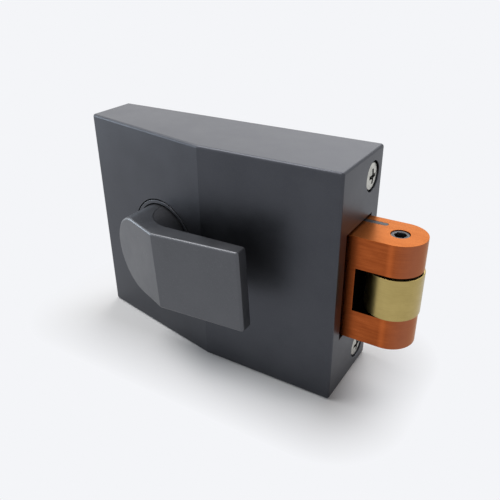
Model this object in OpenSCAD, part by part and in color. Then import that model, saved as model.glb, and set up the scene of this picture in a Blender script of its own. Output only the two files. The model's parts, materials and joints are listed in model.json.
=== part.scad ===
// Rim nightlatch with a roller bolt and a lever handle.
// +X points the way the bolt is thrown, +Y into the door, +Z up.
// The origin is where the key cylinder's axis meets the face of the door.

/* [Case] */
// Height of the case
case_h = 98; // [97:0.5:106]
// Width of the case, from its thin end to its bolt end
case_w = 129; // [129:0.5:136]
// Depth of the case under its flat front
case_d = 37.5; // [37:0.5:41]
// Depth of the case at its thin end
thin_end_d = 23.2; // [23.2:0.1:26]
// Width of the facet that slopes from the thin end to the flat front
facet_w = 68.4; // [64:0.2:69]
// Wall of the case
wall = 3.5; // [2.5:0.25:3.5]
// Rounding of the case's outer edges
edge_r = 1.2; // [0.6:0.2:2]
// Distance from the cylinder's axis to the bolt end of the case
backset = 60; // [58:0.5:61]

/* [Bolt] */
// Height of the bolt
bolt_h = 44.6; // [40:0.2:46]
// Thickness of the bolt
bolt_t = 20.6; // [19:0.1:21]
// How far the bolt stands out of the case
bolt_out = 25.8; // [25.5:0.1:28]
// Travel of the bolt when it is drawn back
stroke = 25.5; // [20:0.5:25.5]
// Length of the bolt inside the case
bolt_in = 22; // [21:0.5:22]
// Distance from the door to the back of the bolt
bolt_from_door = 7.4; // [7.3:0.1:7.8]
// Height of the slot that the roller turns in
slot_h = 18.5; // [14:0.1:19]
// Distance from the case to the inner wall of the roller's slot
slot_start = 3.2; // [2.8:0.1:4]
// Radius of the roller
roller_r = 10.8; // [10.6:0.1:11]
// Height of the roller
roller_h = 17.5; // [12:0.1:17.9]
// Radius of the roller's pin
roller_pin_r = 3; // [2:0.1:3.4]
// Radius of the screw that closes the pin's bore
grub_r = 3.6; // [3.6:0.1:4.5]
// Length of the screw that closes the pin's bore
grub_l = 5; // [4:0.5:7]
// Width of the hardened strip let into the bolt
strip_w = 2.4; // [2:0.2:4]
// Depth of the hardened strip
strip_d = 5; // [3:0.5:6]
// How far the hardened strip shows outside the case
strip_out = 9; // [5:0.5:11]

/* [Handle] */
// Distance from the cylinder's axis back to the handle's axis
handle_back = 25; // [24:0.5:25.5]
// Radius of the handle's round end and of its boss
handle_r = 16.9; // [16:0.05:18]
// Length of the handle from its axis to its tip
handle_l = 56; // [48:0.5:60]
// Distance from the handle's axis to the bend of its front
handle_bend = 16.2; // [12:0.1:17]
// Angle by which the round end's face slopes back
handle_slope = 24.3; // [20:0.1:26]
// How far the handle's face stands out from the case's flat front
handle_out = 19.8; // [19:0.1:23]
// Thickness of the handle beside its bend
handle_t = 7.7; // [6:0.1:8]
// Thickness of the handle at its tip
handle_tip_t = 5.4; // [5:0.1:7]
// Radius of the inner corner where the grip leaves the boss
crook_r = 18; // [10:1:20]
// Rounding of the edges of the handle's face
handle_edge = 1.2; // [0.6:0.2:1.6]
// Angle by which the handle rests above level
handle_tilt = 3.2; // [0:0.1:4]
// Angle through which the handle turns to draw the bolt back
handle_turn = 70; // [70:1:80]
// Width of the ring that lies round the handle's boss
collar_w = 1.4; // [1.4:0.1:2.4]
// Radius of the handle's journal inside the case
journal_r = 8; // [7.5:0.1:9]
// Side of the square end of the handle's journal
square_w = 10; // [8:0.2:10.4]

/* [Mechanism] */
// Thickness of the chassis plate
chassis_t = 2; // [1.5:0.25:2.5]
// Thickness of the cam that the key turns
key_cam_t = 3.5; // [3:0.25:4]
// Thickness of the plate that draws the bolt
tail_t = 3; // [2.5:0.25:3.5]
// Thickness of the cam that the handle turns
handle_cam_t = 3.5; // [3:0.25:3.75]
// Thickness of the web that carries the handle's journal
web_t = 4; // [3:0.25:4.5]
// Angle through which the key turns to draw the bolt back
key_turn = 100; // [98:1:110]
// Radius of the two pins that the cams push
drive_pin_r = 3; // [2.4:0.1:3.2]
// Radius of the key cam's journal
key_journal_r = 6.4; // [6:0.1:6.8]
// Length of the slot for the cylinder's tail bar
tail_bar_w = 9; // [8:0.2:10]
// Width of the slot for the cylinder's tail bar
tail_bar_t = 2.6; // [2:0.1:3.4]
// Radius of the wire of the bolt springs
wire_r = 0.3; // [0.25:0.05:0.5]
// Number of turns of each bolt spring
turns = 14; // [10:1:16]
// Mean radius of the bolt springs
spring_r = 2.8; // [2.7:0.1:3]
// Radius of the rods inside the bolt springs
rod_r = 1.75; // [1.3:0.05:1.8]

/* [Mounting plate] */
// Thickness of the mounting plate
plate_t = 2.5; // [2:0.25:3]
// Distance between the door screws along the lock
door_screw_dx = 88; // [80:1:92]
// Distance between the door screws up the door
door_screw_dz = 68; // [60:1:72]
// Radius of the door screw holes
door_screw_r = 2.6; // [2.2:0.1:3]
// Radius of the hole for the cylinder's tail bar
tail_hole_r = 5.5; // [5:0.1:6]
// Distance between the two screws that hold the cylinder
cylinder_screw_dx = 19; // [18.5:0.5:22]
// Radius of the holes for the cylinder's screws
cylinder_screw_r = 2.6; // [2.2:0.1:2.8]

/* [Screws] */
// Radius of the case screws
case_screw_r = 2.5; // [2:0.1:3]
// Radius of the case screws' heads
case_head_r = 5.2; // [4.5:0.1:5.4]
// Height of the case screws' heads
case_head_h = 3.7; // [3:0.1:4]
// Depth at which the case screws' heads lie
case_head_sink = 0.1; // [0.1:0.1:1.5]
// Distance from the door to the case screws
case_screw_y = 9; // [8.6:0.1:10]
// Distance from the top or bottom of the case to the case screws
case_screw_in = 10.2; // [10:0.1:11]
// Radius of the small screws inside
small_screw_r = 1.75; // [1.4:0.05:1.9]
// Radius of the small screws' heads
small_head_r = 3.4; // [2.8:0.1:3.5]
// Height of the small screws' heads
small_head_h = 2.2; // [1.6:0.1:2.4]

/* [Hidden] */

$fn = 64;
// Number of steps on each rounded edge of the case
blend_steps = 8;
// Overshoot of a cut past the face it opens
cut = 1;

// Clearance of a shaft that turns in its bore
run = 0.05;
// Clearance of a fastener in its hole
snug = 0.05;
// Clearance between sliding or turning bodies that aren't a fit
free = 0.3;
// Clearance beside the bolt's guided faces
guide_gap = 0.15;
// Gap above and below the bolt where it leaves the case
mouth_gap = 0.8;
// Gaps in front of and behind the bolt where it leaves the case
mouth_front_gap = 2.6;
mouth_back_gap = 0.9;

// Places along X
x_end = backset;
x_thin = backset - case_w;
x_bend = x_thin + facet_w;
x_hub = -handle_back;
half_h = case_h / 2;

// Slope of the facet, as depth gained for each millimetre of width
slope = (case_d - thin_end_d) / facet_w;
slope_len = sqrt(1 + slope * slope);

// Layers from the door outwards, as Y places
screw_room = 3;
chassis_back = -plate_t - screw_room;
chassis_front = chassis_back - chassis_t;
key_cam_back = chassis_front - 1;
key_cam_front = key_cam_back - key_cam_t;
tail_back = key_cam_front - 1;
tail_front = tail_back - tail_t;
handle_cam_back = tail_front - 1.4;
handle_cam_front = handle_cam_back - handle_cam_t;
web_back = handle_cam_front - 0.5;
web_front = web_back - web_t;

// Bolt
bolt_back = -bolt_from_door;
bolt_front = bolt_back - bolt_t;
bolt_y = bolt_back - bolt_t / 2;
nose_r = bolt_t / 2;
x_nose = x_end + bolt_out - nose_r;
x_bolt = x_end - bolt_in;
roller_seat = 0.1;
z_roller = -slot_h / 2 + roller_seat;
strip_back = 5.3;
strip_y = bolt_y + strip_back;
strip_in = 16;
strip_l = strip_out + strip_in;
tongue_h = 28;
tongue_l = 14;
tongue_x = x_bolt + tongue_l;
tail_screw_z = 8;
tail_screw_x = x_bolt + tongue_l / 2;
tail_screw_l = 14;

// Cams: the flank of each is an involute, so the bolt moves evenly with the angle
cam_lead = 1;
radian = 180 / PI;
handle_cam_r = stroke / handle_turn * radian;
key_cam_r = stroke / key_turn * radian;
cam_tip_extra = 1.5;
handle_cam_hub = 11;
key_cam_hub = 9;
cam_gap = 0.15;
x_handle_pin = x_hub - cam_lead - cam_gap - drive_pin_r;
x_key_pin = -cam_lead - cam_gap - drive_pin_r;
pin_shank_r = 1.6;

// Handle
collar_gap = 0.6;
collar_seat = 0.5;
collar_in = handle_r + collar_gap;
collar_out = collar_in + collar_w;
hub_wall = 3.2;
hub_r = collar_out + collar_seat + hub_wall;
y_face = -case_d - handle_out;
crook_start = 1;
boss_step = 0.05;
boss_end = web_front - 0.2;
washer_t = 0.4;
cam_washer_r = 9;
cam_washer_t = 1;
cam_head_r = 3.8;
cam_head_h = 2.2;
cam_screw_r = 2;
cam_screw_l = 10;

// Seats of the case screws along X
x_head_seat = x_end - case_head_sink - case_head_h;
screw_boss_t = 2.5;
x_screw_boss = x_head_seat - screw_boss_t;

// Guides, buffers and the tail's shoulders
guide_wall = 8;
guide_in = bolt_h / 2 + guide_gap;
guide_out = guide_in + guide_wall;
guide_lead = 13.5;
guide_x = x_bolt - guide_lead;
guide_end = x_screw_boss - free;
guide_pad_w = 10.5;
guide_pad_t = 2;
guide_web = 1.4;
guide_front = bolt_front + 0.6;
pocket_gap = 4;
pocket_d = 8;
buffer_t = 3;
buffer_in = guide_in + 0.8;
buffer_out = guide_out - 0.8;
buffer_rest = 0.2;
tail_shoulder = guide_x - buffer_t - buffer_rest;
rib_z = 12;
rib_t = 3;

// Springs, their rods and the lugs that carry them
spring_z = half_h - wall - 6.5;
spring_y = chassis_front - 4.5;
lug_t = 2;
lug_half = 4;
lug_front = spring_y - 3.5;
x_lug_left = x_thin + wall + 2.5;
x_lug_right = 2;
tail_lug_t = 3;
x_tail_lug = -9;
spring_l = x_tail_lug - (x_lug_left + lug_t);
rod_head = 1.2;

// Screw places
column_r = 3.5;
column_left = x_thin + wall + 4.5;
column_left_gap = 1.5;
column_left_z = spring_z - lug_half - column_r - column_left_gap;
column_right = 32;
column_right_gap = 3;
column_right_z = guide_out + column_right_gap + column_r;
columns = [
    [column_left, column_left_z], [column_left, -column_left_z],
    [column_right, column_right_z], [column_right, -column_right_z]
];
chassis_screw_l = 12;
guide_screw_z = guide_in + 0.65 * guide_wall;
guide_screw_in = 6;
guide_screw_x = [guide_x + guide_screw_in, guide_end - guide_screw_in - small_screw_r];
guide_screw_l = 9;
case_screw_z = half_h - case_screw_in;
case_dome_h = 0.5;
small_dome_h = 1;
recess_gap = 0.9;
recess_r = case_head_r + recess_gap;
screw_boss_wall = 2.25;
screw_boss_r = recess_r + screw_boss_wall;
side_lug_t = 3;
x_side_lug = x_screw_boss - free - side_lug_t;
side_lug_half = 6.2;
side_lug_front = -case_screw_y - 6;
case_screw_l = case_head_h + screw_boss_t + free + side_lug_t + 4;
x_screw_tip = x_head_seat + case_head_h - case_screw_l;

// Mounting plate and chassis outlines
plate_gap = 0.5;
plate_x0 = x_thin + wall + 4;
plate_x1 = x_side_lug + side_lug_t;
plate_z = half_h - wall - plate_gap;
plate_corner = 4;
door_screw_x = (plate_x0 + plate_x1) / 2;
tongue_z = 10;
tongue_front = -plate_t - 3.5;
lip_t = 2.4;
lip_back = -0.8;
chassis_x0 = x_lug_left;
chassis_x1 = x_side_lug - 1.5;
chassis_z = half_h - wall - 1.5;
chassis_notch = 12;
chassis_window_r = 12;
chassis_window_l = 14;
bolt_window_x = x_bolt - stroke - mouth_gap;
bolt_window_z = guide_in + guide_web + 0.2;
bush_wall = 1.8;
bush_flange = 3.8;

// A box between two opposite corners
module block(a, b) {
    translate(a) cube(b - a);
}

// A flat shape drawn in X and Z, between two Y places
module slab(y0, y1) {
    translate([0, y1, 0]) rotate([90, 0, 0]) linear_extrude(y1 - y0) children();
}

// A round bar along X, Y or Z
module bar_x(x0, x1, y, z, r) {
    translate([x0, y, z]) rotate([0, 90, 0]) cylinder(r = r, h = x1 - x0);
}
module bar_y(x, z, y0, y1, r) {
    translate([x, y1, z]) rotate([90, 0, 0]) cylinder(r = r, h = y1 - y0);
}
module bar_z(x, y, z0, z1, r) {
    translate([x, y, z0]) cylinder(r = r, h = z1 - z0);
}

// Both halves of what is the same above and below the bolt's axis
module both_halves() {
    children();
    mirror([0, 0, 1]) children();
}

// Outline of the case in X and Y, drawn in by a margin
function case_outline(margin) = [
    [x_thin + margin, 0],
    [x_thin + margin, -thin_end_d - slope * margin + margin * slope_len],
    [x_bend + margin * (slope_len - 1) / slope, -case_d + margin],
    [x_end - margin, -case_d + margin],
    [x_end - margin, 0]
];

// Y place of the case's front face at a place along X
function front_y(x) = x < x_bend ? -thin_end_d - slope * (x - x_thin) : -case_d;

// Rounded corners of the case: centre, first and last direction, and number of steps
facet_turn = atan(slope);
form_centres = case_outline(edge_r);
form_corners = [
    [form_centres[0], 180, 180, 0],
    [form_centres[1], 180, 270 - facet_turn, blend_steps],
    [form_centres[2], 270 - facet_turn, 270, 2],
    [form_centres[3], 270, 360, blend_steps],
    [form_centres[4], 360, 360, 0]
];

// Centre, direction and corner number of each point on the way round the case
form_path = [
    for (k = [0 : len(form_corners) - 1])
        let (c = form_corners[k])
        for (i = [0 : c[3]])
            let (a = c[1] + (c[2] - c[1]) * i / max(c[3], 1))
            [c[0], [cos(a), sin(a)], k]
];

// Height and radius of each ring from the bottom of the case to its top
form_rings = [
    for (side = [-1, 1], j = [0 : blend_steps - 1])
        let (a = 90 / blend_steps * (side < 0 ? blend_steps - 1 - j : j))
        [side * (half_h - edge_r + edge_r * sin(a)), edge_r * cos(a)]
];

// Solid outer form of the case, with rounded edges: rings of points, closed by flat ends
module case_form() {
    round_n = len(form_path);
    ring_n = len(form_rings);
    last_ring = (ring_n - 1) * round_n;
    low_cap = ring_n * round_n;
    high_cap = low_cap + len(form_corners);
    points = concat(
        [for (g = form_rings, p = form_path)
            [p[0].x + g[1] * p[1].x, p[0].y + g[1] * p[1].y, g[0]]],
        [for (side = [-1, 1], c = form_corners) [c[0].x, c[0].y, side * half_h]]
    );
    sides = [for (g = [0 : ring_n - 2], i = [0 : round_n - 2])
        let (a = g * round_n + i) [a, a + round_n, a + round_n + 1, a + 1]];
    ends = [for (i = [0 : round_n - 2])
        let (k = form_path[i][2], m = form_path[i + 1][2], t = last_ring + i)
        each [
            k == m ? [t, high_cap + k, t + 1] : [t, high_cap + k, high_cap + m, t + 1],
            k == m ? [i, i + 1, low_cap + k] : [i, i + 1, low_cap + m, low_cap + k]
        ]];
    caps = [
        [for (k = [len(form_corners) - 1 : -1 : 0]) high_cap + k],
        [for (k = [0 : len(form_corners) - 1]) low_cap + k]
    ];
    back = concat(
        [low_cap, high_cap - 1],
        [for (g = [0 : ring_n - 1]) g * round_n + round_n - 1],
        [high_cap + len(form_corners) - 1, high_cap],
        [for (g = [ring_n - 1 : -1 : 0]) g * round_n]
    );
    polyhedron(points = points, faces = concat(sides, ends, caps, [back]));
}

// Hollow inside of the case, open to the door
module case_cavity() {
    inner = case_outline(wall);
    translate([0, 0, wall - half_h]) linear_extrude(case_h - 2 * wall)
        polygon([for (p = inner) [p.x, p.y == 0 ? cut : p.y]]);
}

module case() {
    color("dimgray") difference() {
        union() {
            difference() {
                case_form();
                case_cavity();
            }
            intersection() {
                linear_extrude(case_h - 2 * edge_r, center = true) polygon(case_outline(edge_r));
                case_inner_forms();
            }
        }
        case_openings();
    }
}

// Boss, columns, ribs, screw bosses and lip inside the case
module case_inner_forms() {
    bar_y(x_hub, 0, -case_d, web_back, hub_r);
    for (c = columns) bar_y(c.x, c.y, -case_d, chassis_front, column_r);
    both_halves() {
        block([guide_x - 6, -case_d, rib_z - rib_t / 2],
              [x_end - wall + cut, bolt_front - guide_gap, rib_z + rib_t / 2]);
        bar_x(x_screw_boss, x_end, -case_screw_y, case_screw_z, screw_boss_r);
    }
    block([x_thin + cut, lip_back - lip_t, -tongue_z], [x_thin + wall + 3, lip_back, tongue_z]);
}

// Bolt mouth, handle bore and screw holes of the case
module case_openings() {
    mouth = bolt_h / 2 + mouth_gap;
    block([x_end - wall - 2 * cut, bolt_front - mouth_front_gap, -mouth],
          [x_end + cut, bolt_back + mouth_back_gap, mouth]);
    bar_y(x_hub, 0, -case_d - cut, web_front, collar_out + collar_seat);
    bar_y(x_hub, 0, web_front - cut, web_back + cut, journal_r + run);
    for (c = columns)
        bar_y(c.x, c.y, chassis_front - chassis_screw_l, chassis_front + cut, small_screw_r + snug);
    both_halves() {
        bar_x(x_head_seat, x_end + cut, -case_screw_y, case_screw_z, recess_r);
        bar_x(x_screw_boss - cut, x_end, -case_screw_y, case_screw_z, case_screw_r + free);
    }
}

// Ring round the handle's boss, its face flush with the sloping facet
module handle_collar() {
    color("gray") difference() {
        intersection() {
            bar_y(x_hub, 0, -case_d, web_front, collar_out);
            linear_extrude(case_h, center = true)
                polygon([[x_thin, 0], [x_thin, front_y(x_thin)], [x_bend, front_y(x_bend)],
                         [x_end, -case_d], [x_end, 0]]);
        }
        bar_y(x_hub, 0, -case_d - cut, web_front + cut, collar_in);
    }
}

// Washer between the case's web and the handle cam
module handle_washer() {
    color("ivory") difference() {
        bar_y(x_hub, 0, web_back, web_back + washer_t, journal_r + 4);
        bar_y(x_hub, 0, web_back - cut, web_back + washer_t + cut, journal_r + free);
    }
}

// Rounded rectangle in X and Z
module plate_outline(x0, x1, z, r) {
    union() {
        translate([x0 + r, -z]) square([x1 - x0 - 2 * r, 2 * z]);
        translate([x0, r - z]) square([x1 - x0, 2 * (z - r)]);
        for (x = [x0 + r, x1 - r], side = [-1, 1]) translate([x, side * (z - r)]) circle(r = r);
    }
}

// Steel plate that is screwed to the door, with its tongue and its two tapped lugs
module mounting_plate() {
    color("silver") difference() {
        union() {
            slab(-plate_t, 0) plate_outline(plate_x0, plate_x1, plate_z, plate_corner);
            both_halves() side_lug();
            block([plate_x0, tongue_front, -tongue_z], [plate_x0 + plate_t, 0, tongue_z]);
            block([x_thin + wall + plate_gap, tongue_front, -tongue_z],
                  [plate_x0 + plate_t, tongue_front + plate_t, tongue_z]);
        }
        bar_y(0, 0, -plate_t - cut, cut, tail_hole_r);
        for (side = [-1, 1])
            bar_y(side * cylinder_screw_dx / 2, 0, -plate_t - cut, cut, cylinder_screw_r);
        for (sx = [-1, 1], sz = [-1, 1])
            translate([door_screw_x + sx * door_screw_dx / 2, 0, sz * door_screw_dz / 2])
                door_screw_hole();
    }
}

// Countersunk hole for a door screw
module door_screw_hole() {
    bar_y(0, 0, -plate_t - cut, cut, door_screw_r);
    translate([0, -plate_t, 0]) rotate([-90, 0, 0])
        cylinder(r1 = door_screw_r + 1.5, r2 = door_screw_r, h = 1.5);
}

// Lug of the mounting plate that a case screw is driven into
module side_lug() {
    difference() {
        union() {
            block([x_side_lug, -case_screw_y, case_screw_z - side_lug_half],
                  [x_side_lug + side_lug_t, 0, case_screw_z + side_lug_half]);
            bar_x(x_side_lug, x_side_lug + side_lug_t, -case_screw_y, case_screw_z, side_lug_half);
        }
        bar_x(x_side_lug - cut, x_side_lug + side_lug_t + cut, -case_screw_y, case_screw_z,
              case_screw_r + snug);
    }
}

// Domed screw head with a cross recess, on a shank, pointing along +Z
module cross_screw(head_r, head_h, shank_r, length, dome_h) {
    dome_r = (head_r * head_r + dome_h * dome_h) / dome_h / 2;
    difference() {
        intersection() {
            cylinder(r = head_r, h = head_h);
            translate([0, 0, head_h - dome_r]) sphere(r = dome_r);
        }
        for (turn = [0, 90]) rotate([0, 0, turn])
            translate([-0.55 * head_r, -0.11 * head_r, 0.45 * head_h])
                cube([1.1 * head_r, 0.22 * head_r, head_h]);
    }
    translate([0, 0, head_h - length]) cylinder(r = shank_r, h = length - head_h);
}

module case_screws() {
    color("lightgray") for (side = [-1, 1])
        translate([x_head_seat, -case_screw_y, side * case_screw_z]) rotate([0, 90, 0])
            rotate([0, 0, 20])
            cross_screw(case_head_r, case_head_h, case_screw_r, case_screw_l, case_dome_h);
}

// Lug folded up from the chassis, drilled for a spring rod
module rod_lug(x) {
    block([x, lug_front, spring_z - lug_half], [x + lug_t, chassis_back, spring_z + lug_half]);
}

// Steel plate that carries the mechanism inside the case
module chassis_plate() {
    color("lightsteelblue") difference() {
        union() {
            slab(chassis_front, chassis_back)
                plate_outline(chassis_x0, chassis_x1, chassis_z, plate_corner);
            both_halves() {
                rod_lug(x_lug_left);
                rod_lug(x_lug_right);
            }
        }
        bar_y(0, 0, chassis_front - cut, chassis_back + cut, key_journal_r + bush_wall + snug);
        block([bolt_window_x, chassis_front - cut, -bolt_window_z],
              [chassis_x1 + cut, chassis_back + cut, bolt_window_z]);
        block([chassis_x0 - cut, chassis_front - cut, -chassis_notch],
              [plate_x0 + plate_t + 2, chassis_back + cut, chassis_notch]);
        for (c = columns)
            bar_y(c.x, c.y, chassis_front - cut, chassis_back + cut, small_screw_r + free);
        both_halves() {
            for (x = guide_screw_x)
                bar_y(x, guide_screw_z, chassis_front - cut, chassis_back + cut,
                      small_screw_r + free);
            block([x_screw_tip - free, chassis_front - cut, case_screw_z - case_screw_r - free],
                  [chassis_x1 + cut, chassis_back + cut, case_screw_z + case_screw_r + free]);
            bar_x(x_lug_left - cut, x_lug_right + lug_t + cut, spring_y, spring_z, rod_r + snug);
        }
        slab(chassis_front - cut, chassis_back + cut) chassis_window();
    }
}

// Window that lightens the chassis behind the handle's axis
module chassis_window() {
    union() {
        translate([x_hub - chassis_window_l, -chassis_window_r])
            square([chassis_window_l, 2 * chassis_window_r]);
        for (x = [x_hub - chassis_window_l, x_hub]) translate([x, 0]) circle(r = chassis_window_r);
    }
}

// Small pan head screw whose head lies on the chassis' door side, at the origin
module small_screw(length) {
    rotate([-90, 0, 0])
        cross_screw(small_head_r, small_head_h, small_screw_r, length + small_head_h, small_dome_h);
}

module chassis_screws() {
    color("silver") for (c = columns)
        translate([c.x, chassis_back, c.y]) small_screw(chassis_t + chassis_screw_l - 1);
}

module guide_screws() {
    color("silver") both_halves() for (x = guide_screw_x)
        translate([x, chassis_back, guide_screw_z]) small_screw(chassis_t + guide_screw_l - 1);
}

// Angle of slippery plastic that the bolt slides in, above its axis
module bolt_guide() {
    pad_front = bolt_back + guide_gap;
    difference() {
        union() {
            block([guide_x, guide_front, guide_in], [guide_end, chassis_front, guide_out]);
            block([guide_x, chassis_front - cut, guide_in],
                  [guide_end, pad_front + guide_pad_t, guide_in + guide_web]);
            block([guide_x, pad_front, guide_in - guide_pad_w],
                  [guide_end, pad_front + guide_pad_t, guide_in + guide_web]);
        }
        for (x = guide_screw_x)
            bar_y(x, guide_screw_z, chassis_front - guide_screw_l, chassis_front + cut,
                  small_screw_r + snug);
        block([guide_screw_x[0] + pocket_gap, guide_front - cut, guide_in + guide_web],
              [guide_screw_x[1] - pocket_gap, guide_front + pocket_d, guide_out + cut]);
    }
}

module bolt_guide_upper() {
    color("whitesmoke") bolt_guide();
}

module bolt_guide_lower() {
    color("whitesmoke") mirror([0, 0, 1]) bolt_guide();
}

// Rubber pads on the guides' ends that stop the bolt's tail
module bolt_buffers() {
    color("black") both_halves()
        block([guide_x - buffer_t, tail_front - 0.6, buffer_in],
              [guide_x, tail_back + 0.6, buffer_out]);
}

module spring_rods() {
    color("silver") both_halves() {
        bar_x(x_lug_left - rod_head, x_lug_right + lug_t + rod_head, spring_y, spring_z, rod_r);
        for (x = [x_lug_left - rod_head, x_lug_right + lug_t])
            bar_x(x, x + rod_head, spring_y, spring_z, rod_r + 0.7);
    }
}

// Brass bush in the chassis that the key cam's journal turns in
module key_cam_bush() {
    color("gold") difference() {
        union() {
            bar_y(0, 0, chassis_front, chassis_back + 0.5, key_journal_r + bush_wall);
            bar_y(0, 0, chassis_front - 0.8, chassis_front, key_journal_r + bush_flange);
        }
        bar_y(0, 0, chassis_front - 0.8 - cut, chassis_back + 0.5 + cut, key_journal_r + run);
    }
}

// Bolt with its round nose, roller slot, pin bore, strip groove and tail slot
module bolt() {
    color("peru") difference() {
        union() {
            block([x_bolt, bolt_front, -bolt_h / 2], [x_nose, bolt_back, bolt_h / 2]);
            bar_z(x_nose, bolt_y, -bolt_h / 2, bolt_h / 2, nose_r);
        }
        block([x_end + slot_start, bolt_front - cut, -slot_h / 2],
              [x_nose + nose_r + cut, bolt_back + cut, slot_h / 2]);
        bar_z(x_nose, bolt_y, pin_low, slot_h, roller_pin_r + snug);
        bar_z(x_nose, bolt_y, pin_high, bolt_h / 2 + cut, grub_r + snug);
        strip_groove(snug);
        block([x_bolt - cut, tail_front - snug, -tongue_h / 2 - snug],
              [tongue_x + snug, tail_back + snug, tongue_h / 2 + snug]);
        for (side = [-1, 1]) translate([tail_screw_x, bolt_back, side * tail_screw_z])
            tail_screw_form(snug);
    }
}

// Ends of the roller's pin, and the bottom of the screw above it
pin_floor = 3;
grub_sink = 0.3;
pin_low = -bolt_h / 2 + pin_floor;
pin_high = bolt_h / 2 - grub_l - grub_sink;

// Form of the hardened strip, grown by a clearance
module strip_groove(gap) {
    x_far = x_end + strip_out - strip_w / 2;
    block([x_far - strip_l, strip_y - strip_w / 2 - gap, bolt_h / 2 - strip_d - gap],
          [x_far, strip_y + strip_w / 2 + gap, bolt_h / 2 + gap]);
    bar_z(x_far, strip_y, bolt_h / 2 - strip_d - gap, bolt_h / 2 + gap, strip_w / 2 + gap);
}

module bolt_strip() {
    color("dimgray") strip_groove(0);
}

module roller_pin() {
    color("silver") bar_z(x_nose, bolt_y, pin_low, pin_high, roller_pin_r);
}

module grub_screw() {
    color("black") difference() {
        bar_z(x_nose, bolt_y, pin_high, pin_high + grub_l, grub_r);
        translate([x_nose, bolt_y, pin_high + 0.4 * grub_l]) rotate([0, 0, 12])
            cylinder(r = 0.68 * grub_r, h = grub_l, $fn = 6);
    }
}

module roller() {
    color("goldenrod") difference() {
        bar_z(x_nose, bolt_y, z_roller, z_roller + roller_h, roller_r);
        bar_z(x_nose, bolt_y, z_roller - cut, z_roller + roller_h + cut, roller_pin_r + run);
    }
}

// Countersunk screw that holds the tail in the bolt, its face at the origin
module tail_screw_form(gap) {
    rotate([90, 0, 0]) {
        cylinder(r1 = small_head_r + gap, r2 = small_screw_r + gap,
                 h = small_head_r - small_screw_r);
        cylinder(r = small_screw_r + gap, h = tail_screw_l + gap);
    }
}

module tail_screws() {
    color("silver") for (side = [-1, 1])
        translate([tail_screw_x, bolt_back, side * tail_screw_z]) difference() {
            tail_screw_form(0);
            rotate([90, 0, 0]) translate([0, 0, -cut])
                cylinder(r = 0.45 * small_head_r, h = cut + 1.2, $fn = 6);
        }
}

// Half outline of the tail above the axis, in X and Z
function tail_half_outline() = [
    [tongue_x, 0],
    [tongue_x, tongue_h / 2],
    [tail_shoulder + 3, tongue_h / 2],
    [tail_shoulder, tongue_h / 2 + 3],
    [tail_shoulder, buffer_out - 0.5],
    [x_tail_lug + tail_lug_t + tail_arm + 4, buffer_out - 0.5],
    [x_tail_lug + tail_lug_t + tail_arm, spring_z - lug_half - 1],
    [x_tail_lug + tail_lug_t + tail_arm, spring_z + lug_half],
    [x_tail_lug, spring_z + lug_half],
    [x_tail_lug, tail_body_z + 3],
    [x_tail_lug - 3, tail_body_z],
    [x_tail_end + 5, tail_body_z],
    [x_tail_end, tail_body_z - 5],
    [x_tail_end, 0]
];
tail_arm = 5;
tail_body_z = handle_cam_r + drive_pin_r + 0.6;
x_tail_end = x_handle_pin - drive_pin_r - 2;

// Plate that joins the bolt to the two drive pins and the springs
module bolt_tail() {
    half = tail_half_outline();
    color("slategray") difference() {
        union() {
            slab(tail_front, tail_back) union() {
                polygon(half);
                mirror([0, 1]) polygon(half);
            }
            both_halves()
                block([x_tail_lug, tail_front, spring_z - lug_half],
                      [x_tail_lug + tail_lug_t, spring_y + 3, spring_z + lug_half]);
        }
        slab(tail_front - cut, tail_back + cut) tail_slot();
        bar_y(x_handle_pin, -handle_cam_r, tail_front - cut, tail_back + cut, pin_shank_r + snug);
        bar_y(x_key_pin, key_cam_r, tail_front - cut, tail_back + cut, pin_shank_r + snug);
        for (side = [-1, 1])
            bar_y(tail_screw_x, side * tail_screw_z, tail_front - cut, tail_back + cut,
                  small_screw_r + snug);
        both_halves()
            bar_x(x_tail_lug - cut, x_tail_lug + tail_lug_t + tail_arm + cut, spring_y, spring_z,
                  rod_r + free);
    }
}

// Slot that lets the tail pass the end of the handle's journal
module tail_slot() {
    r = cam_head_r + 1.5;
    union() {
        translate([x_hub - 1, -r]) square([stroke + 2, 2 * r]);
        for (x = [x_hub - 1, x_hub + stroke + 1]) translate([x, 0]) circle(r = r);
    }
}

module handle_drive_pin() {
    color("lightgray") {
        bar_y(x_handle_pin, -handle_cam_r, handle_cam_front + 0.4, tail_front, drive_pin_r);
        bar_y(x_handle_pin, -handle_cam_r, tail_front, tail_back, pin_shank_r);
    }
}

module key_drive_pin() {
    color("lightgray") {
        bar_y(x_key_pin, key_cam_r, tail_back, key_cam_back - 0.4, drive_pin_r);
        bar_y(x_key_pin, key_cam_r, tail_front, tail_back, pin_shank_r);
    }
}

// Outer form of the handle with rounded edges, solid down to the end of its boss
module handle_head() {
    r = handle_edge;
    flat_y = y_face + r;
    bend_x = handle_bend - r * tan(handle_slope / 2);
    far_x = -handle_r - cut;
    far_y = flat_y + (bend_x - far_x) * tan(handle_slope);
    minkowski() {
        intersection() {
            slab(y_face, boss_end - r) union() {
                circle(r = handle_r - r);
                translate([0, r - handle_r]) square([handle_l - r, 2 * (handle_r - r)]);
            }
            linear_extrude(4 * handle_r, center = true)
                polygon([[far_x, far_y], [bend_x, flat_y], [handle_l, flat_y],
                         [handle_l, boss_end], [far_x, boss_end]]);
        }
        sphere(r = r, $fn = 16);
    }
}

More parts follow.
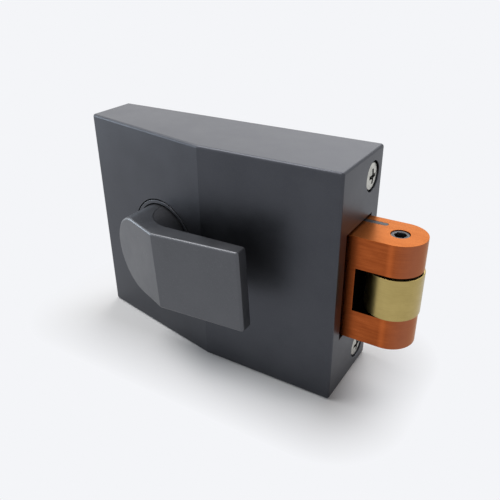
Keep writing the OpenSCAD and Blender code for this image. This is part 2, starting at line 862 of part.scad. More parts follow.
// Space behind the handle's grip, with a round inner corner, less the boss
module handle_hollow() {
    back_y = y_face + handle_t;
    corner_x = crook_start + crook_r;
    tip_y = y_face + handle_tip_t;
    end_x = handle_l + cut;
    difference() {
        linear_extrude(4 * handle_r, center = true) union() {
            translate([corner_x, back_y + crook_r]) circle(r = crook_r);
            polygon([[corner_x, back_y], [end_x, tip_y], [end_x, back_y + crook_r],
                     [corner_x, back_y + crook_r]]);
            translate([crook_start, back_y + crook_r]) square([end_x - crook_start, -back_y]);
        }
        bar_y(0, 0, y_face, boss_end + cut, handle_r - boss_step);
    }
}

// Lever with its round end, bent face, boss, journal and square
module handle() {
    color("dimgray") translate([x_hub, 0, 0]) rotate([0, -handle_tilt, 0]) difference() {
        union() {
            difference() {
                handle_head();
                handle_hollow();
            }
            bar_y(0, 0, boss_end - cut, web_back, journal_r);
            block([-square_w / 2, web_back - cut, -square_w / 2],
                  [square_w / 2, handle_cam_back - 0.2, square_w / 2]);
        }
        bar_y(0, 0, handle_cam_back - cam_screw_l, handle_cam_back + cut, cam_screw_r + snug);
    }
}

// Point on the involute of a circle of radius r, after rolling through an angle
function involute(r, roll, start) = [
    r * (cos(start + roll) + roll / radian * sin(start + roll)),
    r * (sin(start + roll) - roll / radian * cos(start + roll))
];

// Cam whose flank pushes a pin at depth r below its axis towards -X, clockwise in X and Z
module cam_outline(r, turn, hub) {
    lead = cam_lead / r * radian;
    last = lead + turn + cam_tip_extra;
    start = -90 - lead;
    tip = involute(r, last, start);
    tip_angle = atan2(tip.y, tip.x);
    flank = [for (i = [0 : 12]) involute(r, last * i / 12, start)];
    root = 0.75 * hub;
    union() {
        circle(r = hub);
        polygon(concat(
            [root * [cos(start), sin(start)]],
            flank,
            [0.97 * norm(tip) * [cos(tip_angle + 5), sin(tip_angle + 5)]],
            [root * [cos(tip_angle + 42), sin(tip_angle + 42)]],
            [[0, 0]]
        ));
    }
}

module handle_cam() {
    side = square_w + 2 * snug;
    color("lightgray") translate([x_hub, 0, 0]) difference() {
        slab(handle_cam_front, handle_cam_back)
            cam_outline(handle_cam_r, handle_turn, handle_cam_hub);
        rotate([0, -handle_tilt, 0])
            block([-side / 2, handle_cam_front - cut, -side / 2],
                  [side / 2, handle_cam_back + cut, side / 2]);
    }
}

module cam_washer() {
    color("silver") difference() {
        bar_y(x_hub, 0, handle_cam_back, handle_cam_back + cam_washer_t, cam_washer_r);
        bar_y(x_hub, 0, handle_cam_back - cut, handle_cam_back + cam_washer_t + cut,
              cam_screw_r + free);
    }
}

module cam_screw() {
    color("silver") translate([x_hub, handle_cam_back + cam_washer_t, 0]) rotate([-90, 0, 0])
        cross_screw(cam_head_r, cam_head_h, cam_screw_r,
                    cam_head_h + cam_washer_t + cam_screw_l - 1, small_dome_h);
}

// Cam that the key cylinder's tail bar turns, with its journal
module key_cam() {
    journal_end = chassis_back + screw_room - 0.5;
    color("lightgray") difference() {
        union() {
            slab(key_cam_front, key_cam_back)
                mirror([0, 1]) cam_outline(key_cam_r, key_turn, key_cam_hub);
            bar_y(0, 0, key_cam_front, journal_end, key_journal_r);
        }
        block([-tail_bar_w / 2, key_cam_front - cut, -tail_bar_t / 2],
              [tail_bar_w / 2, journal_end + cut, tail_bar_t / 2]);
        difference() {
            bar_y(0, 0, clip_front, clip_front + clip_t + 2 * snug, key_journal_r + cut);
            bar_y(0, 0, clip_front - cut, clip_front + clip_t + cut, key_journal_r - clip_d);
        }
    }
}

// Snap ring in the groove of the key cam's journal
clip_t = 0.8;
clip_d = 0.8;
clip_front = chassis_back + 0.5 + 0.15;
module key_cam_clip() {
    inner = key_journal_r - clip_d + snug;
    color("silver") translate([0, snug, 0]) difference() {
        bar_y(0, 0, clip_front, clip_front + clip_t, key_journal_r + 1.6);
        bar_y(0, 0, clip_front - cut, clip_front + clip_t + cut, inner);
        block([-inner / 2, clip_front - cut, -2 * key_journal_r],
              [inner / 2, clip_front + clip_t + cut, 0]);
    }
}

// Compression spring along X: a helix of round wire with a straight end at each seat
rings_per_turn = 8;
wire_sides = 6;
end_straight = 2 * wire_r;
helix_l = spring_l - 2 * end_straight;
ring_count = turns * rings_per_turn + 1;

// Middle of the wire at a ring of the helix
function wire_point(i) = let (a = 360 * i / rings_per_turn) [
    end_straight + helix_l * i / (ring_count - 1), spring_r * cos(a), spring_r * sin(a)
];

// All the middles, with the two straight ends
wire_path = concat(
    [[0, spring_r, 0]],
    [for (i = [0 : ring_count - 1]) wire_point(i)],
    [[spring_l, spring_r * cos(360 * turns), spring_r * sin(360 * turns)]]
);

// Least gap between one turn of the wire and the next, on the rings' middles
spring_gap = min([for (i = [1 : ring_count - rings_per_turn], j = [i + rings_per_turn - 2 : i + rings_per_turn])
    if (j < len(wire_path) - 1) norm(wire_path[i] - wire_path[j])]) - 2 * wire_r;
echo("least gap of a bolt spring to itself in mm", spring_gap);

// One ring of points round the wire
function wire_ring(i) =
    let (
        p = wire_path[i],
        before = wire_path[max(i - 1, 0)],
        after = wire_path[min(i + 1, len(wire_path) - 1)],
        ahead = (after - before) / norm(after - before),
        out = [0, p.y, p.z] / spring_r,
        side = cross(ahead, out) / norm(cross(ahead, out)),
        up = cross(side, ahead)
    )
    [for (k = [0 : wire_sides - 1]) let (a = 360 * k / wire_sides)
        p + wire_r * (cos(a) * up + sin(a) * side)];

module spring_form() {
    count = len(wire_path);
    points = [for (i = [0 : count - 1]) each wire_ring(i)];
    walls = [for (i = [0 : count - 2], k = [0 : wire_sides - 1])
        let (
            a = i * wire_sides + k,
            b = i * wire_sides + (k + 1) % wire_sides,
            c = a + wire_sides,
            d = b + wire_sides
        )
        each [[a, b, d], [a, d, c]]];
    last = (count - 1) * wire_sides;
    caps = [for (k = [1 : wire_sides - 2]) each [[0, k + 1, k], [last, last + k, last + k + 1]]];
    polyhedron(points = points, faces = concat(walls, caps));
}

module bolt_spring(side) {
    color("silver") translate([x_lug_left + lug_t, spring_y, side * spring_z]) spring_form();
}
module bolt_spring_upper() {
    bolt_spring(1);
}
module bolt_spring_lower() {
    bolt_spring(-1);
}

case();
handle_collar();
mounting_plate();
case_screws();
chassis_plate();
chassis_screws();
bolt_guide_upper();
bolt_guide_lower();
guide_screws();
bolt_buffers();
spring_rods();
key_cam_bush();
handle_washer();
bolt();
bolt_strip();
roller_pin();
grub_screw();
roller();
bolt_tail();
tail_screws();
handle_drive_pin();
key_drive_pin();
handle();
handle_cam();
cam_washer();
cam_screw();
key_cam();
key_cam_clip();
bolt_spring_upper();
bolt_spring_lower();
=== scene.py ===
"""Looks of a rim nightlatch with a roller bolt and a lever handle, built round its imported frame."""

import json
from math import pi, radians

import bmesh
import bpy
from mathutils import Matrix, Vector


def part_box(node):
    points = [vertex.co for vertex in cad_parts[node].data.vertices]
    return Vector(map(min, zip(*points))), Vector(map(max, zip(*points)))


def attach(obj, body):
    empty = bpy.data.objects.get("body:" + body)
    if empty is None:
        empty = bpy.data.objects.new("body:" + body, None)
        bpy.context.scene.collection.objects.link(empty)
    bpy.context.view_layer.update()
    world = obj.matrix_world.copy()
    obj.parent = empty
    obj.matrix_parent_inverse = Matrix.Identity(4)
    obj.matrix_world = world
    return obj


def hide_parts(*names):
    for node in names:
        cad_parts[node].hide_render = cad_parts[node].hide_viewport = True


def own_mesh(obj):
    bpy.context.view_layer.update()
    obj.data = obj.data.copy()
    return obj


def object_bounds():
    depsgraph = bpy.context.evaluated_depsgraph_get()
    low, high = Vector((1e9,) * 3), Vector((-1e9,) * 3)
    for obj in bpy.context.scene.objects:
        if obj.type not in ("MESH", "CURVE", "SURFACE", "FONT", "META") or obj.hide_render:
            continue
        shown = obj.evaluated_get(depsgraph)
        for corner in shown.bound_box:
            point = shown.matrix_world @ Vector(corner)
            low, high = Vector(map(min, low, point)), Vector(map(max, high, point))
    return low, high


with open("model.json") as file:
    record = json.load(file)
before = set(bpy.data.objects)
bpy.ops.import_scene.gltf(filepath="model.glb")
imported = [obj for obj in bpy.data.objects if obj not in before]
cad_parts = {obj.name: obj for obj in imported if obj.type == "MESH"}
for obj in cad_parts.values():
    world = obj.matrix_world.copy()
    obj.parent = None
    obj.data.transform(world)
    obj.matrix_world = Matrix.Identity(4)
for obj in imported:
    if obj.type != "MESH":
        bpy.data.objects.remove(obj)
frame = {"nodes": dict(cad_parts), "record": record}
cad_low, cad_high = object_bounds()
MM = 0.001


# The bolt's nose and the roller's slot in it, in millimetres, as in the part's source
nose_x, bolt_y, nose_r = 75.5, -17.7, 10.3
slot_x, slot_top = 63.2, 9.25


# Shader trees

def blank_finish(name):
    """A new material with a Principled shader, as (material, tree, shader)."""
    material = bpy.data.materials.new(name)
    material.use_nodes = True
    tree = material.node_tree
    tree.nodes.clear()
    shader = tree.nodes.new("ShaderNodeBsdfPrincipled")
    output = tree.nodes.new("ShaderNodeOutputMaterial")
    tree.links.new(shader.outputs["BSDF"], output.inputs["Surface"])
    return material, tree, shader


def add(tree, kind, inputs=None, **settings):
    """A node with its settings, and its inputs set to a value or linked to a socket."""
    node = tree.nodes.new(kind)
    for key, value in settings.items():
        setattr(node, key, value)
    for key, value in (inputs or {}).items():
        if isinstance(value, bpy.types.NodeSocket):
            tree.links.new(value, node.inputs[key])
        else:
            node.inputs[key].default_value = value
    return node


def on_object(tree, stretch=(1, 1, 1)):
    """Object coordinates, stretched for a grain that runs one way."""
    place = add(tree, "ShaderNodeTexCoord")
    mapped = add(tree, "ShaderNodeMapping", {"Vector": place.outputs["Object"], "Scale": stretch})
    return mapped.outputs["Vector"]


def noise(tree, where, size, detail, rough=0.5):
    """Noise whose features are about size metres across."""
    node = add(tree, "ShaderNodeTexNoise",
               {"Vector": where, "Scale": 1 / size, "Detail": detail, "Roughness": rough})
    return node.outputs["Fac"]


def spread(tree, value, low, high, out_low, out_high):
    """A value spread from one range to another, held at its ends."""
    node = add(tree, "ShaderNodeMapRange", {"Value": value, "From Min": low, "From Max": high,
                                            "To Min": out_low, "To Max": out_high})
    return node.outputs["Result"]


def maths(tree, operation, *values):
    """A Math node's result on one or more values."""
    return add(tree, "ShaderNodeMath", dict(enumerate(values)), operation=operation).outputs[0]


def times(tree, a, b):
    return maths(tree, "MULTIPLY", a, b)


def plus(tree, a, b):
    return maths(tree, "ADD", a, b)


def minus(tree, a, b):
    return maths(tree, "SUBTRACT", a, b)


def marked(tree, name):
    """A face attribute of the piece, 0 on pieces that don't carry it."""
    mark = add(tree, "ShaderNodeAttribute", attribute_name=name, attribute_type="GEOMETRY")
    return mark.outputs["Fac"]


def mixed_tone(tree, factor, first, second):
    """One colour turning into another."""
    node = tree.nodes.new("ShaderNodeMix")
    node.data_type = "RGBA"
    tree.links.new(factor, node.inputs["Factor"])
    colours = [socket for socket in node.inputs if socket.type == "RGBA"]
    for socket, value in zip(colours, (first, second)):
        if isinstance(value, bpy.types.NodeSocket):
            tree.links.new(value, socket)
        else:
            socket.default_value = (*value, 1)
    return next(socket for socket in node.outputs if socket.type == "RGBA")


def lighter(tone, factor, lift=0.0):
    """A colour multiplied and raised, held at white."""
    return [min(1, factor * c + lift) for c in tone]


def wear_and_highlight_share(tree, amount):
    """How far each broken edge is painted lighter, from its edge attribute and a patchy noise: partly
    rubbed through, partly a painted highlight.
    """
    patchy = noise(tree, on_object(tree), 5 * MM, 4)
    patches = spread(tree, patchy, 0.35, 0.65, 0.25 * amount, amount)
    return times(tree, marked(tree, "edge_wear_and_highlight"), patches)


def relief(tree, height, depth, below=None):
    """Bump from a height pattern, depth in metres, laid over a coarser one."""
    inputs = {"Height": height, "Distance": depth}
    if below is not None:
        inputs["Normal"] = below
    return add(tree, "ShaderNodeBump", inputs).outputs["Normal"]


# Finishes

# Satin coat's edge colour: partly metal showing through rubbed paint, partly a painted highlight
bare_metal_and_highlight = (0.34, 0.345, 0.36)
# Painted shade: near-black for the walls of the slot in the bolt
painted_slot_shade = (0.004, 0.003, 0.003)
# Painted shade: near-black for the cross recesses of the screws
painted_recess_shade = (0.01, 0.01, 0.01)
copper_tint = (1, 0.85, 0.7, 1)


def satin_coat(name, tone, light_tone, wear_and_highlight, rough=(0.38, 0.45), pits=0.0):
    """Grey metallic satin coat with a fine orange peel, faint blotches, and edges painted lighter,
    partly as rubbing and partly as a painted highlight.
    """
    material, tree, shader = blank_finish(name)
    plain = on_object(tree)
    blotch = noise(tree, plain, 14 * MM, 5, 0.6)
    fine = noise(tree, plain, 0.35 * MM, 2)
    peel = noise(tree, plain, 1.1 * MM, 3)
    body = mixed_tone(tree, spread(tree, blotch, 0.3, 0.7, 0, 1), tone, light_tone)
    flecks = spread(tree, fine, 0.55, 0.8, 0, 0.35)
    flecked = mixed_tone(tree, flecks, body, lighter(light_tone, 1.7))
    # Edges painted lighter: partly rubbing, partly a painted highlight
    edged = mixed_tone(tree, wear_and_highlight_share(tree, wear_and_highlight), flecked, bare_metal_and_highlight)
    tree.links.new(edged, shader.inputs["Base Color"])
    shader.inputs["Metallic"].default_value = 0.92
    gloss = plus(tree, spread(tree, blotch, 0.3, 0.7, rough[0], rough[1]),
                 spread(tree, fine, 0.3, 0.7, -0.03, 0.03))
    rubbed = times(tree, marked(tree, "edge_wear_and_highlight"), -0.04)
    tree.links.new(plus(tree, gloss, rubbed), shader.inputs["Roughness"])
    soft = relief(tree, peel, 0.006 * MM)
    grain = relief(tree, fine, 0.004 * MM, soft)
    if pits:
        dents = spread(tree, noise(tree, plain, 2.2 * MM, 1), 0.66, 0.74, 1, 0)
        grain = relief(tree, dents, pits, grain)
    tree.links.new(grain, shader.inputs["Normal"])
    return material


def brushed_metal(name, tone, dark_tone, worn_tone, run, rough):
    """Metal with fine lines; run holds how much the grain is drawn out along each axis."""
    material, tree, shader = blank_finish(name)
    streaks = noise(tree, on_object(tree, run), 0.22 * MM, 4, 0.7)
    broad = noise(tree, on_object(tree, [max(0.25, r) for r in run]), 2.6 * MM, 4, 0.6)
    cloud = noise(tree, on_object(tree), 9 * MM, 4, 0.6)
    share = plus(tree, spread(tree, streaks, 0.3, 0.7, 0, 0.5),
                 spread(tree, cloud, 0.3, 0.7, 0, 0.5))
    body = mixed_tone(tree, share, tone, dark_tone)
    edged = mixed_tone(tree, wear_and_highlight_share(tree, 0.6), body, worn_tone)
    tree.links.new(edged, shader.inputs["Base Color"])
    shader.inputs["Metallic"].default_value = 1.0
    middle = spread(tree, streaks, 0.25, 0.75, rough[0], rough[1])
    tree.links.new(plus(tree, middle, spread(tree, broad, 0.3, 0.7, -0.04, 0.05)),
                   shader.inputs["Roughness"])
    tree.links.new(relief(tree, streaks, 0.0025 * MM), shader.inputs["Normal"])
    return material


def lacquered_copper(name, top, side, nose_reflection_tone, rough):
    """Brushed copper under lacquer: lines along X on top, level lines round the sides, a paler
    pinkish nose that is a painted reflection, a painted highlight stripe where the nose begins, edges
    painted lighter as rubbing and as a painted highlight, and a slot painted black as shade."""
    material, tree, shader = blank_finish(name)
    place = add(tree, "ShaderNodeTexCoord")
    facing = add(tree, "ShaderNodeSeparateXYZ", {0: place.outputs["Normal"]}).outputs["Z"]
    along_x = add(tree, "ShaderNodeSeparateXYZ", {0: place.outputs["Object"]}).outputs["X"]
    up = spread(tree, maths(tree, "ABSOLUTE", facing), 0.4, 0.8, 0, 1)
    upright = minus(tree, 1.0, up)

    level = noise(tree, on_object(tree, (0.035, 0.035, 1)), 0.4 * MM, 5, 0.75)
    drawn = noise(tree, on_object(tree, (0.05, 1, 1)), 0.5 * MM, 5, 0.75)
    lines = spread(tree, up, 0, 1, level, drawn)
    cloud = noise(tree, on_object(tree, (0.4, 1, 1)), 3.5 * MM, 5, 0.65)
    share = plus(tree, spread(tree, lines, 0.35, 0.65, 0, 0.55),
                 spread(tree, cloud, 0.35, 0.65, 0, 0.45))
    body = mixed_tone(tree, up, mixed_tone(tree, share, *side), mixed_tone(tree, share, *top))

    # Painted reflection: the nose's sides turn paler and pinker, standing in for what the curved nose
    # reflects
    on_nose = spread(tree, along_x, (nose_x + 1) * MM, (nose_x + 8) * MM, 0, 0.8)
    body = mixed_tone(tree, times(tree, on_nose, upright), body, nose_reflection_tone)
    # Painted highlight: a lighter upright stripe where the flat side meets the nose
    off_band = maths(tree, "ABSOLUTE", minus(tree, along_x, (nose_x + 0.4) * MM))
    highlight_band = times(tree, spread(tree, off_band, 0.3 * MM, 1.6 * MM, 0.5, 0), upright)
    body = mixed_tone(tree, highlight_band, body, lighter(side[0], 1.35))
    # Edges painted lighter: partly rubbing, partly a painted highlight on the chamfers
    edged = mixed_tone(tree, wear_and_highlight_share(tree, 0.5), body, lighter(top[0], 1.5))

    # Painted shade: the slot's walls are painted black and made non-metallic to stand in for the
    # shade inside the slot
    slot = marked(tree, "slot_shade_mark")
    tree.links.new(mixed_tone(tree, slot, edged, painted_slot_shade), shader.inputs["Base Color"])
    tree.links.new(minus(tree, 1.0, slot), shader.inputs["Metallic"])
    shader.inputs["Specular IOR Level"].default_value = 0.0
    shader.inputs["Specular Tint"].default_value = copper_tint
    gloss = plus(tree, spread(tree, lines, 0.25, 0.75, rough[0], rough[1]),
                 spread(tree, cloud, 0.3, 0.7, -0.03, 0.05))
    tree.links.new(plus(tree, gloss, times(tree, slot, 0.3)), shader.inputs["Roughness"])
    tree.links.new(relief(tree, lines, 0.004 * MM), shader.inputs["Normal"])
    return material


def rough_metal(name, tone, dark_tone, worn_tone, metal=1.0, rough=(0.28, 0.45), grain=0.5 * MM):
    """Plated, oxidised or drawn metal with a fine grain, small stains, and painted shade in its tool
    recesses.
    """
    material, tree, shader = blank_finish(name)
    plain = on_object(tree)
    fine = noise(tree, plain, grain, 3, 0.6)
    cloud = noise(tree, plain, 4 * MM, 5, 0.65)
    body = mixed_tone(tree, spread(tree, cloud, 0.35, 0.7, 0, 1), tone, dark_tone)
    edged = mixed_tone(tree, wear_and_highlight_share(tree, 0.5), body, worn_tone)
    # Painted shade: the faces of tool recesses are painted near-black
    recess_shade = times(tree, marked(tree, "recess"), 0.92)
    tree.links.new(mixed_tone(tree, recess_shade, edged, painted_recess_shade), shader.inputs["Base Color"])
    shader.inputs["Metallic"].default_value = metal
    tree.links.new(plus(tree, spread(tree, cloud, 0.3, 0.7, rough[0], rough[1]),
                        spread(tree, fine, 0.3, 0.7, -0.04, 0.04)), shader.inputs["Roughness"])
    tree.links.new(relief(tree, fine, 0.004 * MM), shader.inputs["Normal"])
    return material


def moulded(name, tone, dark_tone, rough, grain, depth):
    """Moulded plastic or rubber with a matt grain and slightly rubbed edges."""
    material, tree, shader = blank_finish(name)
    plain = on_object(tree)
    fine = noise(tree, plain, grain, 3, 0.6)
    cloud = noise(tree, plain, 6 * MM, 4)
    body = mixed_tone(tree, spread(tree, cloud, 0.3, 0.7, 0, 1), tone, dark_tone)
    edged = mixed_tone(tree, wear_and_highlight_share(tree, 0.3), body, lighter(tone, 1.3, 0.02))
    tree.links.new(edged, shader.inputs["Base Color"])
    tree.links.new(spread(tree, fine, 0.3, 0.7, rough[0], rough[1]), shader.inputs["Roughness"])
    tree.links.new(relief(tree, fine, depth), shader.inputs["Normal"])
    return material


case_greys = (0.057, 0.06, 0.069), (0.067, 0.07, 0.08)
handle_greys = (0.094, 0.097, 0.105), (0.107, 0.11, 0.119)
case_coat = satin_coat("case_coat", *case_greys, wear_and_highlight=0.12)
collar_coat = satin_coat("collar_coat", *case_greys, wear_and_highlight=0.2)
handle_coat = satin_coat("handle_coat", *handle_greys, wear_and_highlight=0.1, rough=(0.34, 0.46),
                         pits=0.03 * MM)
# The bolt's copper; the nose tone is a painted reflection
copper_lacquer = lacquered_copper("copper_lacquer",
                                  top=((0.36, 0.1, 0.022), (0.27, 0.07, 0.014)),
                                  side=((0.39, 0.096, 0.025), (0.25, 0.054, 0.013)),
                                  nose_reflection_tone=(0.30, 0.105, 0.055), rough=(0.26, 0.36))
turned_brass = brushed_metal("turned_brass", (0.47, 0.365, 0.14), (0.36, 0.275, 0.1),
                             (0.70, 0.62, 0.36), run=(0.04, 0.04, 1), rough=(0.26, 0.38))
rolled_steel = brushed_metal("rolled_steel", (0.52, 0.53, 0.55), (0.40, 0.41, 0.43),
                             (0.70, 0.70, 0.72), run=(0.02, 1, 1), rough=(0.3, 0.42))
screw_zinc = rough_metal("screw_zinc", (0.56, 0.55, 0.50), (0.36, 0.36, 0.33),
                         (0.75, 0.74, 0.70), rough=(0.26, 0.42), grain=0.35 * MM)
bush_brass = rough_metal("bush_brass", (0.70, 0.55, 0.26), (0.55, 0.42, 0.18),
                         (0.85, 0.72, 0.42))
bright_zinc = rough_metal("bright_zinc", (0.66, 0.67, 0.69), (0.50, 0.52, 0.55),
                          (0.85, 0.85, 0.86), rough=(0.2, 0.34))
black_oxide = rough_metal("black_oxide", (0.045, 0.045, 0.05), (0.03, 0.03, 0.034),
                          (0.30, 0.30, 0.31), metal=0.7, rough=(0.32, 0.46))
spring_wire = rough_metal("spring_wire", (0.42, 0.43, 0.45), (0.33, 0.34, 0.36),
                          (0.6, 0.6, 0.62))
guide_acetal = moulded("guide_acetal", (0.80, 0.80, 0.76), (0.74, 0.74, 0.69),
                       rough=(0.38, 0.5), grain=0.5 * MM, depth=0.004 * MM)
buffer_rubber = moulded("buffer_rubber", (0.03, 0.03, 0.032), (0.045, 0.045, 0.047),
                        rough=(0.7, 0.85), grain=0.3 * MM, depth=0.01 * MM)

# Finish and record slot of each node
looks = {
    "case": (case_coat, "case_grey"),
    "handle_collar": (collar_coat, "collar_grey"),
    "mounting_plate": (bright_zinc, "zinc_steel"),
    "case_screws": (screw_zinc, "zinc_steel"),
    "chassis_plate": (rolled_steel, "plain_steel"),
    "chassis_screws": (bright_zinc, "zinc_steel"),
    "bolt_guide_upper": (guide_acetal, "guide_plastic"),
    "bolt_guide_lower": (guide_acetal, "guide_plastic"),
    "guide_screws": (bright_zinc, "zinc_steel"),
    "bolt_buffers": (buffer_rubber, "buffer_rubber"),
    "spring_rods": (rolled_steel, "plain_steel"),
    "key_cam_bush": (bush_brass, "bush_brass"),
    "handle_washer": (guide_acetal, "guide_plastic"),
    "bolt": (copper_lacquer, "bolt_copper"),
    "bolt_strip": (black_oxide, "dark_steel"),
    "roller_pin": (rolled_steel, "plain_steel"),
    "grub_screw": (black_oxide, "dark_steel"),
    "roller": (turned_brass, "roller_brass"),
    "bolt_tail": (rolled_steel, "plain_steel"),
    "tail_screws": (black_oxide, "dark_steel"),
    "handle_drive_pin": (bright_zinc, "zinc_steel"),
    "key_drive_pin": (bright_zinc, "zinc_steel"),
    "handle": (handle_coat, "case_grey"),
    "handle_cam": (bright_zinc, "zinc_steel"),
    "cam_washer": (bright_zinc, "zinc_steel"),
    "cam_screw": (bright_zinc, "zinc_steel"),
    "key_cam": (bright_zinc, "zinc_steel"),
    "key_cam_clip": (spring_wire, "spring_steel"),
    "bolt_spring_upper": (spring_wire, "spring_steel"),
    "bolt_spring_lower": (spring_wire, "spring_steel"),
}
body_of_node = {
    node: body for body, names in frame["record"]["behaviour"]["bodies"].items() for node in names
}


# Pieces

merge_gap = 0.002 * MM
flat_angle = radians(0.6)
sharp_angle = radians(28)


def settle(piece, node):
    """Puts a finished piece on its node's body in place of the node, with its finish."""
    finish, slot_name = looks[node]
    piece.data.materials.clear()
    piece.data.materials.append(finish)
    bpy.context.view_layer.update()
    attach(piece, body_of_node[node])
    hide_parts(node)
    return piece


def as_object(name, form):
    """A linked object from a bmesh."""
    mesh = bpy.data.meshes.new(name)
    form.to_mesh(mesh)
    form.free()
    piece = bpy.data.objects.new(name, mesh)
    bpy.context.scene.collection.objects.link(piece)
    return piece


def smooth_with_flats(piece, crease=50):
    """Smooth shading that keeps broad faces flat, with creases past an angle in degrees."""
    piece.data.polygons.foreach_set("use_smooth", [True] * len(piece.data.polygons))
    piece.data.set_sharp_from_angle(angle=radians(crease))
    flats = piece.modifiers.new("flats", "WEIGHTED_NORMAL")
    flats.keep_sharp = True


def merged_copy(node):
    """The node's mesh with its loose triangles merged into whole faces."""
    form = bmesh.new()
    form.from_mesh(frame["nodes"][node].data)
    bmesh.ops.remove_doubles(form, verts=form.verts, dist=merge_gap)
    bmesh.ops.dissolve_limit(form, angle_limit=flat_angle, verts=form.verts, edges=form.edges)
    return form


def break_edges(form, width):
    """Bevels the sharp edges of a bmesh and marks the new faces, which the finishes paint lighter as
    rubbing and as a painted highlight.
    """
    edge_layer = form.faces.layers.float.new("edge_wear_and_highlight")
    edges = [e for e in form.edges if e.is_manifold and e.calc_face_angle() > sharp_angle]
    broken = bmesh.ops.bevel(form, geom=edges, offset=width, offset_type="OFFSET", segments=2,
                             profile=0.5, affect="EDGES", clamp_overlap=True)
    for face in broken["faces"]:
        face[edge_layer] = 1.0


def trimmed(node, width, marks=None):
    """A copy of a node with broken edges; marks names face attributes with the test for each."""
    form = merged_copy(node)
    for name, belongs in (marks or {}).items():
        layer = form.faces.layers.float.new(name)
        for face in form.faces:
            face[layer] = 1.0 if belongs(face) else 0.0
    break_edges(form, width)
    piece = as_object(node + "_piece", form)
    smooth_with_flats(piece)
    settle(piece, node)


def in_slot(face):
    """True for the walls of the slot in the bolt that the roller turns in."""
    place = face.calc_center_median() / MM
    side = abs(place.y - bolt_y)
    past_axis = place.x - nose_x
    inner_r = nose_r - 0.3
    inside_nose = past_axis < 0 or (side ** 2 + past_axis ** 2) ** 0.5 < inner_r
    between_walls = place.x > slot_x - 0.1 and abs(place.z) < slot_top + 0.1
    return between_walls and side < inner_r and inside_nose


# Width of each node's broken edges in millimetres
trims = {
    "case": 0.4, "handle_collar": 0.12, "handle": 0.8, "bolt_strip": 0.15,
    "grub_screw": 0.4, "mounting_plate": 0.15, "chassis_plate": 0.15, "bolt_tail": 0.2,
    "handle_cam": 0.2, "key_cam": 0.15, "bolt_guide_upper": 0.3, "bolt_guide_lower": 0.3,
    "bolt_buffers": 0.3, "roller_pin": 0.3, "handle_drive_pin": 0.2, "key_drive_pin": 0.2,
    "key_cam_bush": 0.15, "spring_rods": 0.2, "handle_washer": 0.08, "cam_washer": 0.12,
    "key_cam_clip": 0.1, "tail_screws": 0.12,
}
for node, width in trims.items():
    trimmed(node, width * MM)
# The slot's walls are marked so the bolt's finish paints them black as shade
trimmed("bolt", 0.22 * MM, {"slot_shade_mark": in_slot})


# Pieces that follow a rule: the roller, the springs and the cross-recessed screws

def start_tree(name, inputs):
    """An empty Geometry Nodes tree with named inputs, given as name: socket type."""
    tree = bpy.data.node_groups.new(name, "GeometryNodeTree")
    tree.is_modifier = True
    tree.interface.new_socket(name="Geometry", in_out="OUTPUT", socket_type="NodeSocketGeometry")
    for label, kind in {"Geometry": "Geometry", **inputs, "Finish": "Material"}.items():
        tree.interface.new_socket(name=label, in_out="INPUT", socket_type="NodeSocket" + kind)
    return tree, tree.nodes.new("NodeGroupInput").outputs


def end_tree(tree, given, shape):
    """Ends a tree with its shape on every point, turned by the point's aim, as real geometry."""
    aim = add(tree, "GeometryNodeInputNamedAttribute", {"Name": "aim"}, data_type="FLOAT_VECTOR")
    turned = add(tree, "FunctionNodeEulerToRotation", {0: aim.outputs["Attribute"]})
    placed = add(tree, "GeometryNodeInstanceOnPoints", {
        "Points": given["Geometry"], "Instance": shape, "Rotation": turned.outputs[0]})
    real = add(tree, "GeometryNodeRealizeInstances", {"Geometry": placed.outputs[0]})
    painted = add(tree, "GeometryNodeSetMaterial",
                  {"Geometry": real.outputs[0], "Material": given["Finish"]})
    output = tree.nodes.new("NodeGroupOutput")
    tree.links.new(painted.outputs[0], output.inputs[0])
    return tree


def vector(tree, x=0.0, y=0.0, z=0.0):
    return add(tree, "ShaderNodeCombineXYZ", {0: x, 1: y, 2: z}).outputs[0]


def moved(tree, shape, **how):
    """Geometry moved, turned or scaled."""
    inputs = {"Geometry": shape, **{key.title(): value for key, value in how.items()}}
    return add(tree, "GeometryNodeTransform", inputs).outputs[0]


def swept(tree, path, section, capped=False):
    """A closed section swept along a path."""
    return add(tree, "GeometryNodeCurveToMesh", {0: path, "Fill Caps": capped,
                                                 "Profile Curve": section}).outputs[0]


def grown(node, tree, values, points, aims=((0, 0, 0),)):
    """A tree run on a few points, each with its aim in degrees, and turned into a plain mesh."""
    seed = bpy.data.meshes.new(node + "_places")
    seed.from_pydata([[c * MM for c in p] for p in points], [], [])
    turns = seed.attributes.new("aim", "FLOAT_VECTOR", "POINT")
    for i, aim in enumerate(aims):
        turns.data[i].vector = [radians(c) for c in aim]
    holder = bpy.data.objects.new(node + "_seed", seed)
    bpy.context.scene.collection.objects.link(holder)
    rule = holder.modifiers.new("rule", "NODES")
    rule.node_group = tree
    sockets = {item.name: item.identifier for item in tree.interface.items_tree
               if item.item_type == "SOCKET" and item.in_out == "INPUT"}
    for label, value in {**values, "Finish": looks[node][0]}.items():
        rule[sockets[label]] = value
    ready = holder.evaluated_get(bpy.context.evaluated_depsgraph_get())
    form = bmesh.new()
    form.from_mesh(bpy.data.meshes.new_from_object(ready))
    bpy.data.objects.remove(holder)
    return form


def finished(node, form, width=None, crease=50):
    """A grown form with its edges broken, put on its node's body."""
    if width:
        break_edges(form, width)
    bmesh.ops.recalc_face_normals(form, faces=form.faces)
    piece = as_object(node + "_piece", form)
    smooth_with_flats(piece, crease)
    return settle(piece, node)


